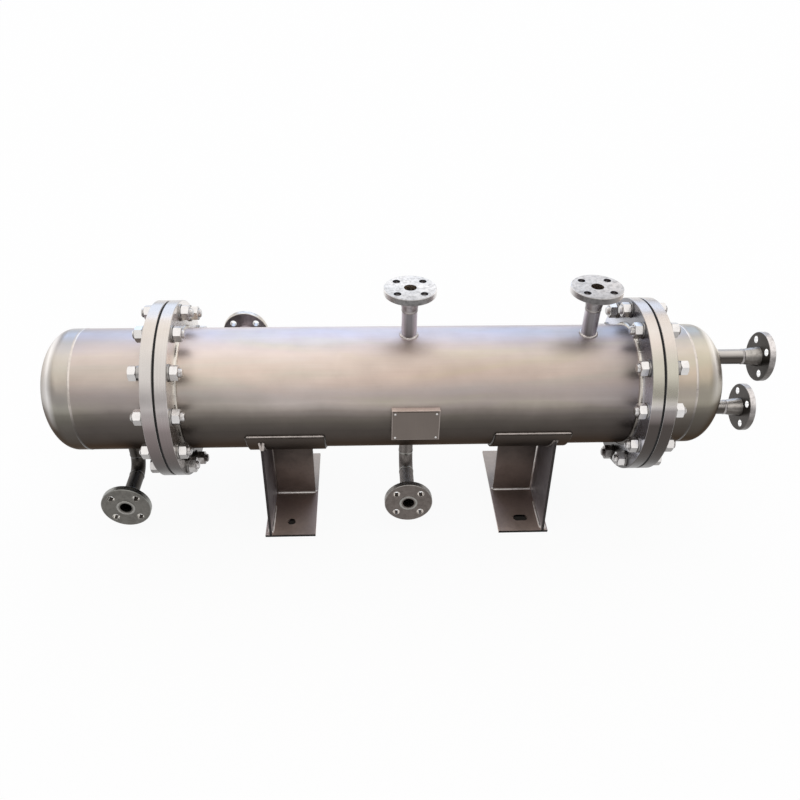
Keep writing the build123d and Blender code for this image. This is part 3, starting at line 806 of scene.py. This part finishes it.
def add_stud_end(bm, base, axis, length, turn, material):
    """The threaded end of a stud, from the base point along the axis."""
    u, v = square_to(axis)
    count = 24
    halves = int(2 * (length + thread_pitch * 2) / thread_pitch) + 2
    columns = []
    for j in range(count + 1):
        angle = turn + 2 * math.pi * j / count
        out = u * math.cos(angle) + v * math.sin(angle)
        column = []
        for k in range(halves):
            along = k * thread_pitch / 2 - thread_pitch * (1 - j / count) - thread_pitch
            root = k % 2 == 0
            radius = stud_radius - (thread_depth if root else 0.0)
            limit = length - 0.0014
            if along > limit:
                radius = min(radius, stud_radius - thread_depth)
                along = min(along, limit)
            along = max(along, 0.0)
            column.append(base + axis * along + out * radius)
        column.append(base + axis * (length - 0.0002) + out * (stud_radius - 0.0024))
        column.append(base + axis * length + out * (stud_radius - 0.0032))
        columns.append([bm.verts.new(p) for p in column])
    for a, b in zip(columns, columns[1:]):
        for k in range(len(a) - 1):
            face = bm.faces.new((a[k], b[k], b[k + 1], a[k + 1]))
            face.material_index = material
    for end in (0, -1):
        face = bm.faces.new([c[end] for c in columns[:-1]])
        face.material_index = material


# Every third nut on a channel side has a lock washer under it, and less stud beyond it
bolt_rng = random.Random(5)
for side, outward in (("left", LEFT), ("right", RIGHT)):
    studs = bmesh.new()
    for k in range(girth_count):
        phi = math.radians(15 + 30 * k)
        centre = Vector((joint_x[side], -girth_bolt_radius * math.cos(phi),
                         axis_z + girth_bolt_radius * math.sin(phi)))
        for axis in (LEFT, RIGHT):
            base = centre + axis * flange_face
            add_flat_washer(studs, base, axis, 1)
            base += axis * flat_washer[1]
            tip = 0.0062 + bolt_rng.uniform(-0.001, 0.0015)
            if axis == outward and k % 3 == 1:
                add_lock_washer(studs, base, axis, bolt_rng.uniform(0, 6.28), 1)
                base += axis * lock_washer[1]
                tip = 0.0018
            add_nut(studs, base, axis, bolt_rng.uniform(0, 1.05), 0)
            add_stud_end(studs, base + axis * (nut_height - 0.002), axis, tip + 0.002,
                         bolt_rng.uniform(0, 6.28), 0)
    add_object(side + "_girth_studs", studs, [steel_fastener, shaded_washer])


# Weld beads on the vessel

vessel_welds = bmesh.new()
for side in ("left", "right"):
    inner = high("left_tubesheet").x if side == "left" else low("right_tubesheet").x
    outer = low("left_channel_flange").x if side == "left" else high("right_channel_flange").x
    seam = high("left_head").x if side == "left" else low("right_head").x
    for x, size in ((inner, 0.0062), (outer, 0.0060)):
        add_bead(vessel_welds, weld_rng, ring_points(x, shell_radius), radial, size, size)
    add_bead(vessel_welds, weld_rng, ring_points(seam, shell_radius), radial, 0.0026, 0.0007,
             material=1)
for node, direction in (("top_centre_pipe", UP), ("top_right_pipe", UP), ("back_pipe", BACK),
                        ("bottom_centre_pipe", DOWN), ("bottom_left_pipe", DOWN)):
    points = branch_points(mid(node).x, direction, shell_radius, pipe_radius)
    add_bead(vessel_welds, weld_rng, points, lambda p, d=direction: d, 0.0042, 0.0040,
             step=0.0014, material=2)
head_start = high("right_head").x - head_depth
for node in ("end_upper_pipe", "end_lower_pipe"):
    rise = mid(node).z - axis_z
    points = []
    for i in range(48):
        t = 2 * math.pi * i / 48
        y, z = pipe_radius * math.cos(t), rise + pipe_radius * math.sin(t)
        depth = head_depth * math.sqrt(1 - (y * y + z * z) / shell_radius ** 2)
        points.append(Vector((head_start + depth, y, axis_z + z)))
    add_bead(vessel_welds, weld_rng, points, lambda p: RIGHT, 0.0050, 0.0050, step=0.0014)
add_object("vessel_welds", vessel_welds, [steel_weld, seam_weld, root_weld], 60)

# Weld beads on the nozzle necks and drain bends

neck_welds = bmesh.new()


def add_neck_bead(centre, axis, material):
    u, v = square_to(axis)
    add_bead(neck_welds, weld_rng, circle(centre, u, v, pipe_radius, 40),
             lambda p: (p - centre) - axis * (p - centre).dot(axis), 0.0030, 0.0010,
             step=0.0015, material=material)


faces = {"top_centre": UP, "top_right": UP, "back": BACK, "bottom_centre": FRONT,
         "bottom_left": FRONT, "end_upper": RIGHT, "end_lower": RIGHT}
face_centre = {}
for name, axis in faces.items():
    centre = mid(name + "_flange")
    a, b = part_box(name + "_flange")
    half = [(b[i] - a[i]) / 2 for i in range(3)]
    reach = sum(abs(axis[i]) * half[i] for i in range(3))
    face_centre[name] = centre + axis * reach
    add_neck_bead(face_centre[name] - axis * hub_length, axis,
                  {"bottom_centre": 1, "bottom_left": 2}.get(name, 0))
drain_z = face_centre["bottom_centre"].z
for name, bend in (("bottom_centre", 1), ("bottom_left", 2)):
    x = face_centre[name].x
    add_neck_bead(Vector((x, 0, drain_z + elbow_radius)), DOWN, bend)
    add_neck_bead(Vector((x, -elbow_radius, drain_z)), FRONT, bend)
    centre = face_centre[name]
    u, v = square_to(FRONT)
    add_bead(neck_welds, weld_rng, circle(centre, u, v, 0.0188, 48), lambda p: FRONT, 0.0028,
             0.0018, step=0.0015, material=1)
add_object("neck_welds", neck_welds, [steel_neck_weld, steel_drain_weld, dark_drain_weld],
           60)

# Weld beads on the saddles

saddle_welds = bmesh.new()
plate_outer = axis_z - low("left_wear_plate").z
# Bead materials: lit copy, shaded copy as painted shade, plate arcs painted dark as shade, and plate
# edges
LIT, SHADED, PLATE, WEAR = 0, 1, 2, 3


def on_shell(x, angle, radius):
    return Vector((x, -radius * math.cos(angle), axis_z - radius * math.sin(angle)))


def weld_line(points, outward, size, material):
    """A fillet weld that faces outward, one direction for the whole line."""
    add_bead(saddle_welds, weld_rng, points, lambda p: outward.normalized(), size, size,
             closed=False, material=material)


for side, sign in (("left", -1), ("right", 1)):
    wear_low, wear_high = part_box(side + "_wear_plate")
    web_low, web_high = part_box(side + "_web")
    rib_low, rib_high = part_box(side + "_rib")
    base_high = high(side + "_base")
    edge = math.acos(min(1, wear_high.y / plate_outer))
    # Round the wear plate: its straight edges are bright and fine, its ends painted dark as shade
    for t in (edge, math.pi - edge):
        ends = [on_shell(x, t, shell_radius + 0.0012) for x in (wear_low.x, wear_high.x)]
        add_bead(saddle_welds, weld_rng, ends, radial, 0.0032, 0.0026, closed=False,
                 material=WEAR)
    for x in (wear_low.x, wear_high.x):
        arc = [on_shell(x, edge + (math.pi - 2 * edge) * i / 60, shell_radius) for i in range(61)]
        add_bead(saddle_welds, weld_rng, arc, radial, 0.0036, 0.0032, closed=False,
                 material=PLATE)
    # The web to the wear plate and, in stitches, to the base
    half, top = base_high.y, base_high.z
    horn = math.asin(min(1, (axis_z - web_high.z) / plate_outer))
    web_arc = [on_shell(0, horn + (math.pi - 2 * horn) * i / 50, plate_outer) for i in range(51)]
    for x, away in ((web_low.x, LEFT), (web_high.x, RIGHT)):
        add_bead(saddle_welds, weld_rng, [Vector((x, p.y, p.z)) for p in web_arc],
                 lambda p, a=away: (a + radial(p)).normalized(), 0.0036, 0.0036, closed=False,
                 material=SHADED)
        for start, end in ((-half + 0.008, -half * 0.33), (half * 0.33, half - 0.008)):
            weld_line([Vector((x, start, top)), Vector((x, end, top))], away + UP, 0.0048, LIT)
    # A forked patch where the left web's horn meets the wear plate, and one at the right foot
    tip = on_shell((web_low.x + web_high.x) / 2, horn, plate_outer)
    foot = Vector((web_high.x + 0.001, -half + 0.004, top))
    for drift, size in ((-0.0025, 0.0030), (0.0030, 0.0034)):
        if side == "left":
            start, end = (drift * 1.6, -0.0030, 0.006), (drift * 0.4, 0.0, -0.020)
            weld_line([tip + Vector(start), tip + Vector(end)], FRONT, size, WEAR)
        else:
            start, end = (drift * 0.3, 0.0, 0.0), (drift * 0.3, 0.024, 0.0)
            weld_line([foot + Vector(start), foot + Vector(end)], RIGHT + UP, 0.0046, LIT)
    # The rib to the base, the web and the wear plate
    inner_x = web_low.x if sign > 0 else web_high.x
    free_x = rib_low.x if sign > 0 else rib_high.x
    rib_top = axis_z - plate_outer
    inward = Vector((-sign, 0, 0))
    for y, away in ((rib_low.y, FRONT), (rib_high.y, BACK)):
        weld_line([Vector((inner_x, y, top)), Vector((free_x, y, top))], away + UP, 0.0042, LIT)
        weld_line([Vector((inner_x, y, top)), Vector((inner_x, y, rib_top))], away + inward,
                  0.0032, LIT if sign > 0 else SHADED)
        weld_line([Vector((inner_x, y, rib_top - 0.001)), Vector((free_x, y, rib_top - 0.001))],
                  away + DOWN, 0.0034, SHADED)
    weld_line([Vector((free_x, rib_low.y, top)), Vector((free_x, rib_high.y, top))], inward + UP,
              0.0042, LIT)
add_object("saddle_welds", saddle_welds, [steel_saddle_weld, shaded_saddle_weld, plate_weld,
                                          wear_weld], 60)

# Nameplate rivets

plate_low, plate_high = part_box("nameplate")
rivets = bmesh.new()
for x in (plate_low.x + 0.0055, plate_high.x - 0.0055):
    for z in (plate_low.z + 0.0050, plate_high.z - 0.0050):
        profile = [(-0.001, 0.0028), (0.0002, 0.0028), (0.0008, 0.0025), (0.0013, 0.0018),
                   (0.00155, 0.0009), (0.0016, 0.0002)]
        revolve(rivets, Vector((x, plate_low.y, z)), FRONT, profile, 24)
add_object("nameplate_rivets", rivets, [steel_fastener])

# Floor, seen as plain white by the camera and in reflections

floor_bm = bmesh.new()
size = 40.0
floor_white = 0.92
floor_grey = (0.80, 0.80, 0.80)
corners = [floor_bm.verts.new((x * size, y * size, 0)) for x, y in
           ((-1, -1), (1, -1), (1, 1), (-1, 1))]
floor_bm.faces.new(corners)
floor_mesh = bpy.data.meshes.new("floor")
floor_bm.to_mesh(floor_mesh)
floor_bm.free()
floor = bpy.data.objects.new("floor", floor_mesh)
bpy.context.scene.collection.objects.link(floor)
floor_material, floor_shader = new_material("studio_floor")
floor_shader.inputs["Roughness"].default_value = 0.9
floor_shader.inputs["Specular IOR Level"].default_value = 0.1
g = Graph(floor_material)
# Painted shadow: the floor right under the feet is dark, which shows only through their bolt holes
painted_foot_shadow = 0.0
for node in ("left_base", "right_base"):
    place = g.parts(g.position())
    inside = 1.0
    for i in (0, 1):
        off = g.math("ABSOLUTE", g.math("SUBTRACT", place[i], mid(node)[i]), 0)
        half = (high(node)[i] - low(node)[i]) / 2 - 0.012
        inside = g.math("MULTIPLY", inside, g.math("LESS_THAN", off, half))
    painted_foot_shadow = g.math("ADD", painted_foot_shadow, inside)
g.link(g.mix(painted_foot_shadow, floor_grey, (0.03, 0.028, 0.026)), floor_shader.inputs["Base Color"])
path = g.node("ShaderNodeLightPath")
seen = g.math("ADD", path.outputs["Is Camera Ray"], path.outputs["Is Glossy Ray"])
seen = g.math("ADD", seen, path.outputs["Is Transmission Ray"])
seen = g.math("MULTIPLY", g.math("MINIMUM", seen, 1.0), floor_white)
glow = g.node("ShaderNodeEmission")
glow.inputs["Color"].default_value = (1, 1, 1, 1)
glow.inputs["Strength"].default_value = 1.0
blend = g.node("ShaderNodeMixShader")
g.link(g.math("MULTIPLY", seen, g.math("SUBTRACT", 1.0, painted_foot_shadow)), blend.inputs[0])
g.link(floor_shader.outputs[0], blend.inputs[1])
g.link(glow.outputs[0], blend.inputs[2])
output = next(n for n in floor_material.node_tree.nodes if n.type == "OUTPUT_MATERIAL")
g.link(blend.outputs[0], output.inputs[0])
floor_mesh.materials.append(floor_material)

# Light

world = bpy.data.worlds.new("studio")
bpy.context.scene.world = world
world.use_nodes = True
background = world.node_tree.nodes["Background"]
background.inputs["Color"].default_value = (1.0, 0.99, 0.99, 1)
background.inputs["Strength"].default_value = 0.60


def add_sun(name, azimuth, elevation, spread, strength, colour):
    """A soft sun. Azimuth 0 stands behind the camera and elevation is above the floor."""
    light = bpy.data.lights.new(name, "SUN")
    light.energy = strength
    light.angle = math.radians(spread)
    light.color = colour
    made = bpy.data.objects.new(name, light)
    bpy.context.scene.collection.objects.link(made)
    a, e = math.radians(azimuth), math.radians(elevation)
    towards = Vector((math.sin(a) * math.cos(e), -math.cos(a) * math.cos(e), math.sin(e)))
    made.rotation_mode = "QUATERNION"
    made.rotation_quaternion = towards.to_track_quat("Z", "Y")
    made.location = towards * 5


add_sun("ceiling", 0, 85, 110, 1.45, (1.0, 0.98, 0.95))
add_sun("back_sky", 180, 25, 50, 0.68, (0.50, 0.69, 1.0))
add_sun("left_window", -122, 8, 50, 0.42, (1.0, 0.99, 0.98))
add_sun("right_window", 122, 14, 46, 0.36, (1.0, 0.98, 0.95))

# Camera, fitted to points measured in the photo

pitch, yaw, roll = math.radians(38.87), math.radians(3.025), math.radians(1.112)
focal_px, centre_px, image_px = 753.773, (397.565, 441.824), 800
sensor_mm = 36.0
camera_place = Vector((0.185843, -1.432225, axis_z + 0.990543))
camera_data = bpy.data.cameras.new("camera")
camera = bpy.data.objects.new("camera", camera_data)
bpy.context.scene.collection.objects.link(camera)
bpy.context.scene.camera = camera
forward = Vector((math.sin(yaw) * math.cos(pitch), math.cos(yaw) * math.cos(pitch),
                  -math.sin(pitch)))
level = Vector((math.cos(yaw), -math.sin(yaw), 0))
upward = level.cross(forward)
right_axis = level * math.cos(roll) + upward * math.sin(roll)
up_axis = upward * math.cos(roll) - level * math.sin(roll)
camera.matrix_world = Matrix((
    (right_axis.x, up_axis.x, -forward.x, camera_place.x),
    (right_axis.y, up_axis.y, -forward.y, camera_place.y),
    (right_axis.z, up_axis.z, -forward.z, camera_place.z),
    (0, 0, 0, 1)))
camera_data.sensor_width = sensor_mm
camera_data.lens = focal_px * sensor_mm / image_px
camera_data.shift_x = (image_px / 2 - centre_px[0]) / image_px
camera_data.shift_y = (centre_px[1] - image_px / 2) / image_px
camera_data.clip_end = 200.0

bpy.context.scene.view_settings.view_transform = "Standard"
